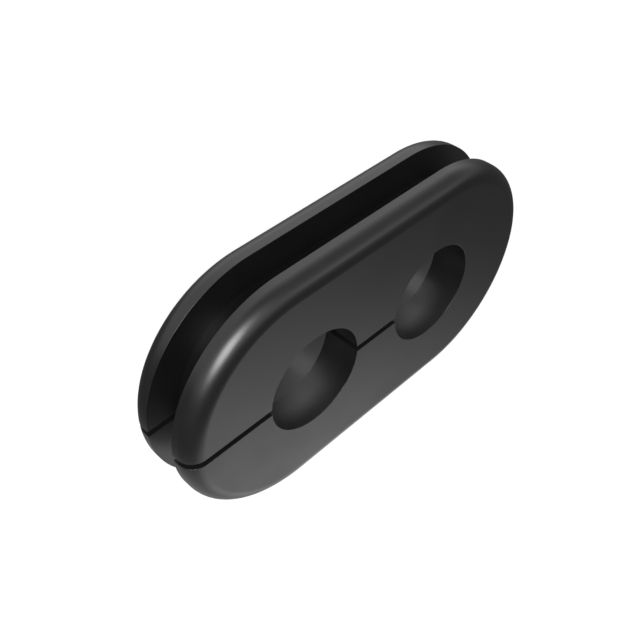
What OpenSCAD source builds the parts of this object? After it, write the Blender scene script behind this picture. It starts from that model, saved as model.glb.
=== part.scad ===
// Double flanged grommet: an obround bush that holds two cables in the cut-out of a thin panel.
// It is moulded in one piece of rubber, with two flanges, a groove between them for the panel's edge,
// two bores closed by a thin membrane, and a slit that lets the cables in from one end.
// X runs along its length, Z is up and the front face looks along -Y. It stands on the straight
// edges of its flanges, and the origin lies under its middle.

/* [Flanges] */
// Length over the flanges
flange_length = 33.5; // [29:0.5:45]
// Width over the flanges
flange_width = 18.5; // [16.5:0.5:24]
// Thickness of each flange
flange_thickness = 1.75; // [1.3:0.05:3]
// Radius of the rounded edge of each flange's outer face
edge_radius = 1.25; // [0.2:0.05:1.25]

/* [Panel groove] */
// Width of the groove, which is the thickness of the panel
groove_width = 2.5; // [1:0.1:6]
// Depth of the groove below the rims of the flanges
groove_depth = 2.5; // [1:0.1:3.2]

/* [Cable bores] */
// Diameter of the bores
bore_diameter = 8; // [4:0.1:9.5]
// Distance between the axes of the bores
bore_spacing = 12; // [10.5:0.1:15]
// Thickness of the membrane in each bore
membrane_thickness = 0.6; // [0.3:0.1:1.2]

/* [Slit] */
// Width of the slit
slit_width = 0.5; // [0.2:0.05:1]

/* [Hidden] */
rim_radius = flange_width / 2;
neck_radius = rim_radius - groove_depth;
straight_length = flange_length - flange_width;
half_thickness = groove_width / 2 + flange_thickness;
cut_past = 1;
rubber_colour = "#222223";
$fn = 128;

// The flange on the front side of the section, with its rounded outer edge. The round stays within
// the flange, so that the inner face is flat down to the neck.
module flange_section() {
    translate([0, groove_width / 2]) {
        square([rim_radius, flange_thickness - edge_radius]);
        square([rim_radius - edge_radius, flange_thickness]);
        intersection() {
            square([rim_radius, flange_thickness]);
            translate([rim_radius - edge_radius, flange_thickness - edge_radius])
                circle(r = edge_radius);
        }
    }
}

// Half of the cross-section, from the middle of the grommet out to the rims
module half_section() {
    flange_section();
    mirror([0, 1]) flange_section();
    translate([0, -groove_width / 2]) square([neck_radius, groove_width]);
}

// One round end: the section turned through half a circle
module round_end() {
    translate([straight_length / 2, 0, 0])
        rotate([0, 0, -90])
            rotate_extrude(angle = 180) half_section();
}

// The straight stretch between the round ends
module straight_middle() {
    rotate([90, 0, 90])
        linear_extrude(height = straight_length, center = true) {
            half_section();
            mirror([1, 0]) half_section();
        }
}

// The bores' pockets: the front ones reach the middle plane, where the membranes begin
module cable_pockets() {
    for (side = [-1, 1])
        translate([side * bore_spacing / 2, 0, 0]) {
            cylinder(d = bore_diameter, h = half_thickness + cut_past);
            translate([0, 0, -half_thickness - cut_past])
                cylinder(d = bore_diameter, h = half_thickness + cut_past - membrane_thickness);
        }
}

// The slit, from the left end through the first bore to the axis of the second
module slit() {
    slit_start = -flange_length / 2 - cut_past;
    translate([slit_start, -slit_width / 2, -half_thickness - cut_past])
        cube([bore_spacing / 2 - slit_start, slit_width, 2 * (half_thickness + cut_past)]);
}

module grommet() {
    color(rubber_colour)
        translate([0, 0, flange_width / 2])
            rotate([90, 0, 0])
                difference() {
                    union() {
                        straight_middle();
                        round_end();
                        mirror([1, 0, 0]) round_end();
                    }
                    cable_pockets();
                    slit();
                }
}

grommet();
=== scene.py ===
"""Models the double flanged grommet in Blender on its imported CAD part, and sets up its stage.

The grommet is one piece of moulded rubber. A round block is stretched to the obround outline, the
panel groove is pushed into its side, the outer edges are rounded, and the bores and the slit are cut.
"""

import math

import bmesh
import bpy
from bpy.props import FloatProperty, FloatVectorProperty, PointerProperty
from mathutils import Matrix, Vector


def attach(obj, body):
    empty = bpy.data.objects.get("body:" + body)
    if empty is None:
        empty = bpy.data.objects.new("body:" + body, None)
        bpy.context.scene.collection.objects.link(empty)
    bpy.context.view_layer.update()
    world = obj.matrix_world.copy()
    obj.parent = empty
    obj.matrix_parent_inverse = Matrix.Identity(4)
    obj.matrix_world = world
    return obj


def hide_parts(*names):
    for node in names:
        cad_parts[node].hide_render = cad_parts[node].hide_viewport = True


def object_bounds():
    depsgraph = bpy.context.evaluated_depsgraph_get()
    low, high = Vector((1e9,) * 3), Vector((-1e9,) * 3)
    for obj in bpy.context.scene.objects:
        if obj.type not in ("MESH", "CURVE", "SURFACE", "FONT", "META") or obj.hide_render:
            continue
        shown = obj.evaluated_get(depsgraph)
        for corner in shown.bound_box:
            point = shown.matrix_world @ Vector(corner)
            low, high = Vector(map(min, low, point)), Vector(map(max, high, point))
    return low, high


bl_info = {
    "name": "Double Flanged Grommet",
    "version": (1, 0, 0),
    "blender": (4, 5, 0),
    "location": "View3D > Sidebar > Grommet",
    "description": "Models a moulded rubber grommet for two cables and sets up a plain stage for it",
    "category": "Object",
}

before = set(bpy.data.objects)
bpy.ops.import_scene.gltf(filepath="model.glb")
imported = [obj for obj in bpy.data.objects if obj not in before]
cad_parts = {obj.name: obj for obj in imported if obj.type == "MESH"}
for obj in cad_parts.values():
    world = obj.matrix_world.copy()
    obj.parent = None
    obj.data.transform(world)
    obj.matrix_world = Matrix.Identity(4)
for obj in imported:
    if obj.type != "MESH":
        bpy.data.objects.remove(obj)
CAD_LOW, CAD_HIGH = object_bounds()
CAD_NODE = "grommet"
CAD_SIZE = CAD_HIGH - CAD_LOW
MM = 0.001
BACK = (0, 1, 0)
UP = (0, 0, 1)

# Steps round the outline, round a bore, across a flange's edge and across a soft edge
OUTLINE_STEPS = 256
BORE_STEPS = 120
EDGE_STEPS = 12
SOFT_STEPS = 3

# The bevel profile of a round edge, and the angle from which an edge counts as sharp
ROUND_PROFILE = 0.5
SHARP_ANGLE = math.radians(40)

# How far a cutter reaches past the block, and how near points are that count as one
CUT_PAST = 1 * MM
MERGE_DISTANCE = 0.001 * MM

# The mark on the faces of the front pockets, and the neck's place in the list of materials
POCKET_MARK = "pocket"
NECK_MATERIAL = 1

# Refractive index of rubber that is filled with carbon black
RUBBER_IOR = 1.66

# The uneven skin: patches of bloom and sheen, and the grain of the mould
PATCH_SIZE = 5 * MM
PATCH_DETAIL = 4.0
PATCH_RANGE = (0.3, 0.7)
GRAIN_DETAIL = 2.0
GRAIN_STRENGTH = 0.3

# Painted light in the front pockets, a paler colour that stands in for light the recess doesn't get:
# the way a lightened face faces, how squarely it has to face it, and how deep it reaches
PAINTED_LIGHT_WAY = (0.40, -0.62, 0.67)
PAINTED_LIGHT_FACING = (0.2, 0.65)
PAINTED_LIGHT_DEPTH = (-2.7 * MM, -0.9 * MM)
PAINTED_LIGHT_AT_MOUTH = 0.2

# Azimuth and elevation of the lamps in degrees, their diameters and their distance in metres
KEY_WAY = (-47, 41)
KEY_SIZE = 0.32
FILL_WAY = (34, 26)
FILL_SIZE = 0.08
LAMP_DISTANCE = 0.5

# The studio in reflections, by where a mirrored ray points: a ceiling that is darker overhead and
# over the front right, and a floor that is lit at the front right
CEILING_HEIGHT = (0.11, 0.32)
OVERHEAD_HEIGHT = (0.87, 1.0)
OVERHEAD_SHADE = 0.1
CEILING_DARK_WAY = (0.5, -0.2, 0.85)
CEILING_DARK_FACING = (0.7, 1.0)
CEILING_DARK_SHADE = 0.35
FLOOR_HEIGHT = (-0.645, -0.96)
FLOOR_LIT_WAY = (0.6, -0.8, 0.0)
FLOOR_FACING = (0.1, 0.6)
FLOOR_SHADE = 0.24

# Soft panels behind the object, on the ceiling and on the wall, in reflections: the way to each, how
# squarely a mirrored ray meets its edge and its middle, and its strength
PANELS = (
    ((0.5, 0.6, 0.6), (0.7, 1.0), 0.45),
    ((0.5, 0.85, 0.0), (0.72, 0.95), 0.12),
)

# The floor's own grey, and the glow that makes it white to the camera: less round the object, so
# that the shadow shows, and full far away, where the floor meets the white background
FLOOR_SIZE = 4.0
FLOOR_COLOUR = (0.30, 0.30, 0.30, 1)
FLOOR_GLOW = 0.82
FLOOR_REACH = (0.03, 0.3)
FLOOR_GAP = 0.01 * MM
BACKGROUND_COLOUR = (1, 1, 1, 1)

# The camera's own right and up, the width of its sensor in millimetres, and the nearest that it sees
CAMERA_RIGHT = Vector((1, 0, 0))
CAMERA_UP = Vector((0, 1, 0))
SENSOR_WIDTH = 36
NEAREST = 1 * MM


def length(name, description, default):
    """A length that the sidebar shows in the scene's units."""
    return FloatProperty(
        name=name,
        description=description,
        default=default,
        min=0.0,
        unit="LENGTH",
        subtype="DISTANCE",
        precision=5,
    )


def angle(name, description, degrees):
    """An angle that the sidebar shows in degrees."""
    return FloatProperty(
        name=name,
        description=description,
        default=math.radians(degrees),
        unit="ROTATION",
        subtype="ANGLE",
    )


def tint(name, description, default):
    """A colour that the sidebar shows as a swatch."""
    return FloatVectorProperty(
        name=name,
        description=description,
        default=default,
        size=3,
        min=0.0,
        max=1.0,
        subtype="COLOR",
    )


def share(name, description, default):
    """A share, from nothing to all."""
    return FloatProperty(
        name=name,
        description=description,
        default=default,
        min=0.0,
        max=1.0,
        subtype="FACTOR",
    )


def power(name, description, watts):
    """The power of a lamp in watts."""
    return FloatProperty(
        name=name,
        description=description,
        default=watts,
        min=0.0,
        unit="POWER",
        subtype="POWER",
        precision=3,
    )


def strength(name, description, default):
    """The strength of a light that comes from all round, where 1 is white."""
    return FloatProperty(
        name=name, description=description, default=default, min=0.0, precision=3
    )


class GrommetSizes(bpy.types.PropertyGroup):
    """Sizes of the moulded piece"""

    flange_length: length("Length", "Length over the flanges", CAD_SIZE.x)
    flange_width: length("Width", "Width over the flanges", CAD_SIZE.z)
    thickness: length("Thickness", "Thickness over both flanges", CAD_SIZE.y)
    groove_width: length("Groove width", "Width of the panel groove", 2.5 * MM)
    groove_depth: length("Groove depth", "Depth of the groove below the rims", 2.5 * MM)
    edge_radius: length("Edge radius", "Radius of the flanges' outer edges", 1.25 * MM)
    bore_diameter: length("Bore diameter", "Diameter of the bores", 8 * MM)
    bore_spacing: length("Bore spacing", "Distance between the bores' axes", 12 * MM)
    membrane: length("Membrane", "Thickness of the membrane in each bore", 0.6 * MM)
    slit_width: length("Slit width", "Width of the slit", 0.5 * MM)
    soft_edge: length("Soft edge", "Rounding of the mould's other edges", 0.02 * MM)


class GrommetLook(bpy.types.PropertyGroup):
    """Colour and finish of the rubber"""

    colour: tint("Rubber", "Colour of the rubber", (0.0055, 0.0055, 0.0057))
    bloom: tint(
        "Bloom",
        "Colour of the faint bloom that moulded rubber carries in patches",
        (0.008, 0.008, 0.0083),
    )
    # Painted light: a paler colour for the front pockets, standing in for light that doesn't reach
    # into them
    painted_light: tint(
        "Painted pocket light", "Colour of the pale film that stays in the front pockets", (0.08, 0.08, 0.081)
    )
    gloss: share("Gloss", "How strongly the skin mirrors", 0.5)
    neck_gloss: share("Neck gloss", "How strongly the dull neck mirrors", 0.15)
    roughness: share("Roughness", "Mean roughness of the skin", 0.34)
    roughness_spread: share("Spread", "How far the roughness strays from its mean", 0.03)
    grain_size: length("Grain size", "Size of the moulded grain", 0.09 * MM)
    grain_depth: length("Grain depth", "Depth of the moulded grain", 0.004 * MM)


class GrommetStage(bpy.types.PropertyGroup):
    """Camera, lamps and studio"""

    azimuth: angle("Azimuth", "Turn of the camera round the object", -45)
    elevation: angle("Elevation", "Height of the camera above the horizon", 45)
    distance: length("Distance", "Distance from the camera to the aim", 61.8 * MM)
    aim_left: length("Aim left", "Aim, to the left of the object's middle", 1.875 * MM)
    aim_down: length("Aim down", "Aim, below the object's middle", 0.497 * MM)
    lens: FloatProperty(
        name="Lens",
        description="Focal length in millimetres",
        default=48.17,
        min=1.0,
        unit="CAMERA",
        subtype="DISTANCE_CAMERA",
    )
    key_power: power("Key", "Power of the lamp beside the camera, in watts", 2.6)
    fill_power: power("Fill", "Power of the low lamp at the right, in watts", 0.037)
    sky: strength("Sky", "Strength of the even light all round", 0.2)
    above: strength("Above", "Strength of the studio's ceiling in reflections", 0.65)
    below: strength("Below", "Strength of the studio's floor in reflections", 1.85)
    walls: strength("Walls", "Strength of the studio's walls in reflections", 0.105)


def activate(obj):
    """Selects one object alone and makes it the active one."""
    bpy.ops.object.select_all(action="DESELECT")
    obj.select_set(True)
    bpy.context.view_layer.objects.active = obj


def select_where(obj, kind, test):
    """Selects the vertices, edges or faces that pass a test, in edit mode, and stops if none does."""
    bpy.ops.mesh.select_mode(type=kind)
    bpy.ops.mesh.select_all(action="DESELECT")
    shape = bmesh.from_edit_mesh(obj.data)
    shape.normal_update()
    parts = {"VERT": shape.verts, "EDGE": shape.edges, "FACE": shape.faces}[kind]
    found = [part for part in parts if test(part)]
    for part in found:
        part.select_set(True)
    shape.select_flush_mode()
    bmesh.update_edit_mesh(obj.data)
    if not found:
        raise RuntimeError(f"nothing to select on {obj.name}")


def add_round_bar(name, steps, radius, depth, middle):
    """A cylinder along Y with a flat, not a corner, at its top, bottom and sides."""
    bpy.ops.object.select_all(action="DESELECT")
    bpy.ops.mesh.primitive_cylinder_add(
        vertices=steps,
        radius=radius,
        depth=depth,
        location=middle,
        rotation=(math.pi / 2, math.pi / steps, 0),
    )
    bar = bpy.context.object
    bar.name = name
    bpy.ops.object.transform_apply(location=True, rotation=True, scale=True)
    return bar


def add_block(sizes):
    """The solid block with the obround outline."""
    rim = sizes.flange_width / 2
    radius = rim / math.cos(math.pi / OUTLINE_STEPS)
    block = add_round_bar("grommet_body", OUTLINE_STEPS, radius, sizes.thickness, (0, 0, rim))
    stretch = (sizes.flange_length - sizes.flange_width) / 2
    bpy.ops.object.mode_set(mode="EDIT")
    for side in (-1, 1):
        select_where(block, "VERT", lambda v: v.co.x * side > 0)
        bpy.ops.transform.translate(value=(side * stretch, 0, 0))
    bpy.ops.object.mode_set(mode="OBJECT")
    return block


def push_in_groove(block, sizes):
    """The panel groove, pushed in all round between the flanges."""
    half = sizes.groove_width / 2
    bpy.ops.object.mode_set(mode="EDIT")
    for y in (-half, half):
        bpy.ops.mesh.select_all(action="SELECT")
        bpy.ops.mesh.bisect(plane_co=(0, y, 0), plane_no=BACK)
    select_where(block, "FACE", lambda f: abs(f.calc_center_median().y) < half / 2)
    bpy.ops.mesh.extrude_region_shrink_fatten(
        TRANSFORM_OT_shrink_fatten={
            "value": -sizes.groove_depth,
            "use_even_offset": True,
        }
    )
    bpy.ops.object.mode_set(mode="OBJECT")


def round_flange_edges(block, sizes):
    """The rounded outer edge of each flange."""
    face_y = sizes.thickness / 2 - MERGE_DISTANCE
    bpy.ops.object.mode_set(mode="EDIT")
    select_where(block, "EDGE", lambda e: min(abs(v.co.y) for v in e.verts) > face_y)
    bpy.ops.mesh.bevel(
        offset=sizes.edge_radius,
        segments=EDGE_STEPS,
        profile=ROUND_PROFILE,
        clamp_overlap=False,
    )
    bpy.ops.object.mode_set(mode="OBJECT")


def cut(block, cutter):
    """Cuts one object out of the block and removes it."""
    activate(block)
    change = block.modifiers.new("Cut", "BOOLEAN")
    change.object = cutter
    change.operation = "DIFFERENCE"
    change.solver = "EXACT"
    bpy.ops.object.modifier_apply(modifier=change.name)
    bpy.data.objects.remove(cutter)


def cut_bores(block, sizes):
    """The bores, from the front to the middle plane and from the back to the membrane."""
    radius = sizes.bore_diameter / 2
    outside = sizes.thickness / 2 + CUT_PAST
    for start, end in ((-outside, 0), (sizes.membrane, outside)):
        for side in (-1, 1):
            middle = (side * sizes.bore_spacing / 2, (start + end) / 2, sizes.flange_width / 2)
            cut(block, add_round_bar("bore", BORE_STEPS, radius, end - start, middle))


def cut_slit(block, sizes):
    """The slit, from the left end through the first bore to the axis of the second."""
    start = -sizes.flange_length / 2 - CUT_PAST
    end = sizes.bore_spacing / 2
    depth = sizes.thickness + 2 * CUT_PAST
    bpy.ops.object.select_all(action="DESELECT")
    bpy.ops.mesh.primitive_cube_add(
        size=1,
        location=((start + end) / 2, 0, sizes.flange_width / 2),
        scale=(end - start, depth, sizes.slit_width),
    )
    cutter = bpy.context.object
    bpy.ops.object.transform_apply(location=True, rotation=True, scale=True)
    cut(block, cutter)


def soften_edges(block, sizes):
    """The slight rounding that every other outer edge has in moulded rubber."""
    activate(block)
    bpy.ops.object.mode_set(mode="EDIT")
    bpy.ops.mesh.select_all(action="SELECT")
    bpy.ops.mesh.remove_doubles(threshold=MERGE_DISTANCE)
    bpy.ops.mesh.normals_make_consistent(inside=False)
    select_where(
        block,
        "EDGE",
        lambda e: e.is_manifold and e.is_convex and e.calc_face_angle() > SHARP_ANGLE,
    )
    bpy.ops.mesh.bevel(
        offset=sizes.soft_edge,
        segments=SOFT_STEPS,
        profile=ROUND_PROFILE,
        clamp_overlap=False,
        face_strength_mode="AFFECTED",
    )
    bpy.ops.mesh.select_all(action="SELECT")
    bpy.ops.mesh.remove_doubles(threshold=MERGE_DISTANCE)
    bpy.ops.mesh.normals_make_consistent(inside=False)
    bpy.ops.object.mode_set(mode="OBJECT")


def check_closed(block):
    """Stops if an edge of the block doesn't join two faces, or if its faces look inwards."""
    shape = bmesh.new()
    shape.from_mesh(block.data)
    closed = all(edge.is_contiguous for edge in shape.edges)
    volume = shape.calc_volume(signed=True)
    shape.free()
    if not closed or volume <= 0:
        raise RuntimeError(f"{block.name} isn't a closed solid")


def smooth_skin(block):
    """Smooth shading that leaves the flat faces flat."""
    activate(block)
    bpy.ops.object.shade_smooth_by_angle(angle=SHARP_ANGLE)
    change = block.modifiers.new("Flat faces", "WEIGHTED_NORMAL")
    change.mode = "CORNER_ANGLE"
    change.keep_sharp = True
    change.use_face_influence = True
    bpy.ops.object.modifier_apply(modifier=change.name)


def mark_pockets(block, sizes):
    """Marks the faces inside the front pockets, where the material paints light in a paler colour."""
    mouth = -sizes.thickness / 2 + sizes.soft_edge
    radius = sizes.bore_diameter / 2
    marks = block.data.attributes.new(POCKET_MARK, "FLOAT", "FACE").data
    for face in block.data.polygons:
        beside = abs(face.center.x) - sizes.bore_spacing / 2
        height = face.center.z - sizes.flange_width / 2
        if mouth < face.center.y < sizes.membrane / 2 and math.hypot(beside, height) < radius:
            marks[face.index].value = 1.0


def dull_neck(block, sizes):
    """Gives the neck between the flanges the second material, because the mould leaves it dull."""
    half = sizes.groove_width / 2 - MERGE_DISTANCE
    neck = sizes.flange_width / 2 - sizes.groove_depth - sizes.soft_edge
    straight = (sizes.flange_length - sizes.flange_width) / 2
    for face in block.data.polygons:
        beside = max(abs(face.center.x) - straight, 0.0)
        height = face.center.z - sizes.flange_width / 2
        if abs(face.center.y) < half and math.hypot(beside, height) > neck:
            face.material_index = NECK_MATERIAL


def add_node(tree, kind, **values):
    """A shader node with its inputs and settings given by name."""
    node = tree.nodes.new(kind)
    for name, value in values.items():
        if name in node.inputs:
            node.inputs[name].default_value = value
        else:
            setattr(node, name, value)
    return node


def add_ramp(tree, value, limits, first, last):
    """A soft change from a first to a last value, while an input goes from one limit to the other."""
    ramp = add_node(tree, "ShaderNodeMapRange", interpolation_type="SMOOTHSTEP")
    ramp.inputs["From Min"].default_value, ramp.inputs["From Max"].default_value = limits
    ramp.inputs["To Min"].default_value = first
    ramp.inputs["To Max"].default_value = last
    tree.links.new(value, ramp.inputs["Value"])
    return ramp.outputs["Result"]


def add_math(tree, operation, first, second):
    """One operation on two values, each a plain number or the output of a node."""
    node = add_node(tree, "ShaderNodeMath", operation=operation)
    for socket, value in zip(node.inputs, (first, second)):
        if isinstance(value, float):
            socket.default_value = value
        else:
            tree.links.new(value, socket)
    return node.outputs["Value"]


def add_facing(tree, vector, way):
    """How far a vector reaches along one way; for unit vectors, 1 along it and -1 against it."""
    facing = add_node(tree, "ShaderNodeVectorMath", operation="DOT_PRODUCT")
    facing.inputs[1].default_value = way
    tree.links.new(vector, facing.inputs[0])
    return facing.outputs["Value"]


def painted_light_mask(tree):
    """Where light is painted: deep in the front pockets, on what faces the mouth or upwards."""
    pocket = add_node(tree, "ShaderNodeAttribute", attribute_name=POCKET_MARK).outputs["Fac"]
    place = add_node(tree, "ShaderNodeTexCoord").outputs
    # Painted light: more on faces that turn towards the mouth or upwards, less near the mouth
    lies = add_ramp(tree, add_facing(tree, place["Normal"], PAINTED_LIGHT_WAY), PAINTED_LIGHT_FACING, 0.0, 1.0)
    depth = add_facing(tree, place["Object"], BACK)
    stays = add_ramp(tree, depth, PAINTED_LIGHT_DEPTH, PAINTED_LIGHT_AT_MOUTH, 1.0)
    return add_math(tree, "MULTIPLY", pocket, add_math(tree, "MULTIPLY", lies, stays))


def rubber_material(name, look, gloss):
    """Black rubber: moulded grain, an uneven sheen, a faint bloom in patches and painted light in the
    front pockets.
    """
    material = bpy.data.materials.new(name)
    material.use_nodes = True
    tree = material.node_tree
    link = tree.links.new
    skin = tree.nodes["Principled BSDF"]
    skin.inputs["IOR"].default_value = RUBBER_IOR
    skin.inputs["Specular IOR Level"].default_value = gloss
    place = add_node(tree, "ShaderNodeTexCoord").outputs["Object"]

    patches = add_node(tree, "ShaderNodeTexNoise", Scale=1 / PATCH_SIZE, Detail=PATCH_DETAIL)
    link(place, patches.inputs["Vector"])
    colour = add_node(tree, "ShaderNodeMix", data_type="RGBA")
    colour.inputs["A"].default_value = (*look.colour, 1)
    colour.inputs["B"].default_value = (*look.bloom, 1)
    link(patches.outputs["Fac"], colour.inputs["Factor"])
    # Painted light: the front pockets take the paler colour where the mask says
    painted_pockets = add_node(tree, "ShaderNodeMix", data_type="RGBA")
    painted_pockets.inputs["B"].default_value = (*look.painted_light, 1)
    link(painted_light_mask(tree), painted_pockets.inputs["Factor"])
    link(colour.outputs["Result"], painted_pockets.inputs["A"])
    link(painted_pockets.outputs["Result"], skin.inputs["Base Color"])

    smoothest = look.roughness - look.roughness_spread
    roughest = look.roughness + look.roughness_spread
    sheen = add_ramp(tree, patches.outputs["Fac"], PATCH_RANGE, smoothest, roughest)
    link(sheen, skin.inputs["Roughness"])

    grain = add_node(tree, "ShaderNodeTexNoise", Scale=1 / look.grain_size, Detail=GRAIN_DETAIL)
    link(place, grain.inputs["Vector"])
    bump = add_node(tree, "ShaderNodeBump", Strength=GRAIN_STRENGTH, Distance=look.grain_depth)
    link(grain.outputs["Fac"], bump.inputs["Height"])
    link(bump.outputs["Normal"], skin.inputs["Normal"])
    return material


class MESH_OT_flanged_grommet(bpy.types.Operator):
    """Model the grommet in place of its CAD node"""

    bl_idname = "mesh.flanged_grommet"
    bl_label = "Flanged Grommet"

    def execute(self, context):
        sizes = context.scene.grommet_sizes
        block = add_block(sizes)
        push_in_groove(block, sizes)
        round_flange_edges(block, sizes)
        cut_bores(block, sizes)
        cut_slit(block, sizes)
        soften_edges(block, sizes)
        check_closed(block)
        smooth_skin(block)
        mark_pockets(block, sizes)
        look = context.scene.grommet_look
        for name, gloss in (("satin_rubber", look.gloss), ("dull_rubber", look.neck_gloss)):
            block.data.materials.append(rubber_material(name, look, gloss))
        dull_neck(block, sizes)
        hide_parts(CAD_NODE)
        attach(block, "root")
        return {"FINISHED"}


def add_mirrored(tree, path):
    """One for a ray that was mirrored or let through, and nothing for any other."""
    return add_math(tree, "MAXIMUM", path["Is Glossy Ray"], path["Is Transmission Ray"])


def floor_material():
    """A pale floor that is white to the camera but for the object's soft shadow."""
    material = bpy.data.materials.new("pale_floor")
    material.use_nodes = True
    tree = material.node_tree
    tree.nodes.clear()
    link = tree.links.new
    paper = add_node(tree, "ShaderNodeBsdfDiffuse", Color=FLOOR_COLOUR)
    path = add_node(tree, "ShaderNodeLightPath").outputs
    seen = add_math(tree, "MAXIMUM", path["Is Camera Ray"], add_mirrored(tree, path))
    away = add_node(tree, "ShaderNodeVectorMath", operation="LENGTH")
    link(add_node(tree, "ShaderNodeTexCoord").outputs["Object"], away.inputs[0])
    white = add_ramp(tree, away.outputs["Value"], FLOOR_REACH, FLOOR_GLOW, 1.0)
    glow = add_node(tree, "ShaderNodeEmission")
    link(add_math(tree, "MULTIPLY", seen, white), glow.inputs["Strength"])
    both = add_node(tree, "ShaderNodeAddShader")
    link(paper.outputs["BSDF"], both.inputs[0])
    link(glow.outputs["Emission"], both.inputs[1])
    output = add_node(tree, "ShaderNodeOutputMaterial")
    link(both.outputs["Shader"], output.inputs["Surface"])
    return material


def add_studio(tree, stage):
    """The studio that mirrored rays see: dim walls, a lit ceiling and floor, and soft panels."""
    way = add_node(tree, "ShaderNodeTexCoord").outputs["Generated"]
    height = add_facing(tree, way, UP)
    ceiling = add_ramp(tree, height, CEILING_HEIGHT, 0.0, stage.above)
    overhead = add_ramp(tree, height, OVERHEAD_HEIGHT, 1.0, OVERHEAD_SHADE)
    dark = add_facing(tree, way, CEILING_DARK_WAY)
    shaded = add_ramp(tree, dark, CEILING_DARK_FACING, 1.0, CEILING_DARK_SHADE)
    above = add_math(tree, "MULTIPLY", ceiling, add_math(tree, "MULTIPLY", overhead, shaded))
    floor = add_ramp(tree, height, FLOOR_HEIGHT, 0.0, stage.below)
    lit = add_ramp(tree, add_facing(tree, way, FLOOR_LIT_WAY), FLOOR_FACING, FLOOR_SHADE, 1.0)
    below = add_math(tree, "MULTIPLY", floor, lit)
    studio = add_math(tree, "ADD", add_math(tree, "ADD", above, below), stage.walls)
    for panel_way, edge_and_middle, panel_strength in PANELS:
        faced = add_facing(tree, way, panel_way)
        panel = add_ramp(tree, faced, edge_and_middle, 0.0, panel_strength)
        studio = add_math(tree, "ADD", studio, panel)
    return studio


def set_world(stage):
    """Even light all round that is white to the camera, with the studio in reflections."""
    world = bpy.data.worlds.new("studio")
    bpy.context.scene.world = world
    world.use_nodes = True
    world.cycles.sampling_method = "NONE"
    tree = world.node_tree
    link = tree.links.new
    path = add_node(tree, "ShaderNodeLightPath").outputs
    even = add_math(tree, "MAXIMUM", stage.sky, path["Is Camera Ray"])
    choice = add_node(tree, "ShaderNodeMix")
    link(add_mirrored(tree, path), choice.inputs["Factor"])
    link(even, choice.inputs["A"])
    link(add_studio(tree, stage), choice.inputs["B"])
    background = tree.nodes["Background"]
    background.inputs["Color"].default_value = BACKGROUND_COLOUR
    link(choice.outputs["Result"], background.inputs["Strength"])


def direction(azimuth, elevation):
    """The way from the object to a camera or lamp; azimuth 0 lies in front, along -Y."""
    flat = math.cos(elevation)
    return Vector(
        (math.sin(azimuth) * flat, -math.cos(azimuth) * flat, math.sin(elevation))
    )


def add_floor():
    """The floor under the object, which mirrored rays pass, because they see the studio's own."""
    bpy.ops.object.select_all(action="DESELECT")
    bpy.ops.mesh.primitive_plane_add(size=FLOOR_SIZE, location=(0, 0, -FLOOR_GAP))
    floor = bpy.context.object
    floor.name = "floor"
    floor.data.materials.append(floor_material())
    floor.visible_glossy = False


def add_lamp(name, aim, turns, size, watts):
    """A soft round lamp, turned to the aim, that the camera itself doesn't see."""
    way = direction(*(math.radians(turn) for turn in turns))
    bpy.ops.object.select_all(action="DESELECT")
    bpy.ops.object.light_add(
        type="AREA",
        location=aim + way * LAMP_DISTANCE,
        rotation=way.to_track_quat("Z", "Y").to_euler(),
    )
    lamp = bpy.context.object
    lamp.name = name
    lamp.data.shape = "DISK"
    lamp.data.size = size
    lamp.data.energy = watts
    lamp.visible_camera = False


def add_camera(stage, middle):
    """The camera at the photograph's viewing angle."""
    way = direction(stage.azimuth, stage.elevation)
    turn = way.to_track_quat("Z", "Y")
    right, up = turn @ CAMERA_RIGHT, turn @ CAMERA_UP
    aim = middle - right * stage.aim_left - up * stage.aim_down
    bpy.ops.object.select_all(action="DESELECT")
    bpy.ops.object.camera_add(location=aim + way * stage.distance, rotation=turn.to_euler())
    camera = bpy.context.object
    camera.name = "photo_camera"
    camera.data.lens = stage.lens
    camera.data.sensor_width = SENSOR_WIDTH
    camera.data.clip_start = NEAREST
    bpy.context.scene.camera = camera


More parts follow.
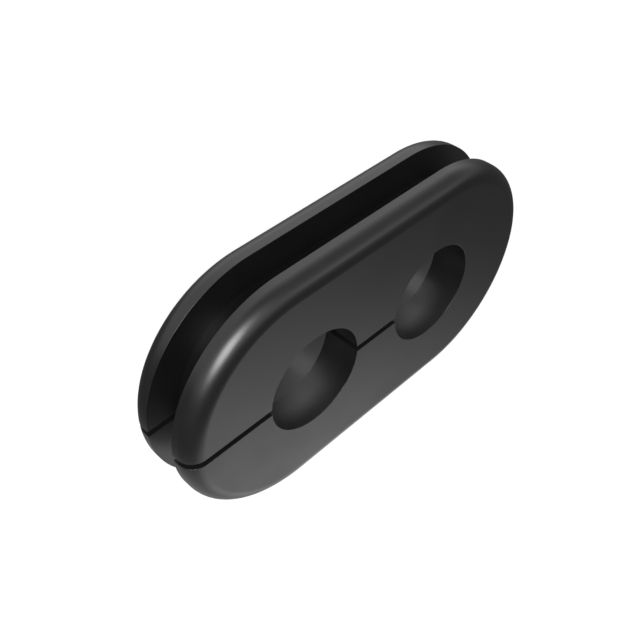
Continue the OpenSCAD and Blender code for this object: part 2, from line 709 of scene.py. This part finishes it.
class SCENE_OT_grommet_stage(bpy.types.Operator):
    """Set up the floor, the lamps, the studio and the camera"""

    bl_idname = "scene.grommet_stage"
    bl_label = "Grommet Stage"

    def execute(self, context):
        stage = context.scene.grommet_stage
        middle = (CAD_LOW + CAD_HIGH) / 2
        add_floor()
        add_lamp("key_lamp", middle, KEY_WAY, KEY_SIZE, stage.key_power)
        add_lamp("fill_lamp", middle, FILL_WAY, FILL_SIZE, stage.fill_power)
        set_world(stage)
        add_camera(stage, middle)
        context.scene.view_settings.view_transform = "Standard"
        return {"FINISHED"}


class VIEW3D_PT_grommet(bpy.types.Panel):
    """Sizes, finish and stage of the grommet"""

    bl_label = "Grommet"
    bl_idname = "VIEW3D_PT_grommet"
    bl_space_type = "VIEW_3D"
    bl_region_type = "UI"
    bl_category = "Grommet"

    def draw(self, context):
        scene = context.scene
        for group in (scene.grommet_sizes, scene.grommet_look, scene.grommet_stage):
            box = self.layout.box()
            for name in group.__annotations__:
                box.prop(group, name)
        self.layout.operator(MESH_OT_flanged_grommet.bl_idname)
        self.layout.operator(SCENE_OT_grommet_stage.bl_idname)


CLASSES = (
    GrommetSizes,
    GrommetLook,
    GrommetStage,
    MESH_OT_flanged_grommet,
    SCENE_OT_grommet_stage,
    VIEW3D_PT_grommet,
)


def register():
    """Adds the classes, and the settings that the scene holds for them."""
    for cls in CLASSES:
        bpy.utils.register_class(cls)
    bpy.types.Scene.grommet_sizes = PointerProperty(type=GrommetSizes)
    bpy.types.Scene.grommet_look = PointerProperty(type=GrommetLook)
    bpy.types.Scene.grommet_stage = PointerProperty(type=GrommetStage)


def unregister():
    """Takes the settings and the classes out again."""
    del bpy.types.Scene.grommet_stage
    del bpy.types.Scene.grommet_look
    del bpy.types.Scene.grommet_sizes
    for cls in reversed(CLASSES):
        bpy.utils.unregister_class(cls)


def main():
    """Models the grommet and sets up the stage."""
    register()
    bpy.ops.mesh.flanged_grommet()
    bpy.ops.scene.grommet_stage()


if __name__ == "__main__":
    main()
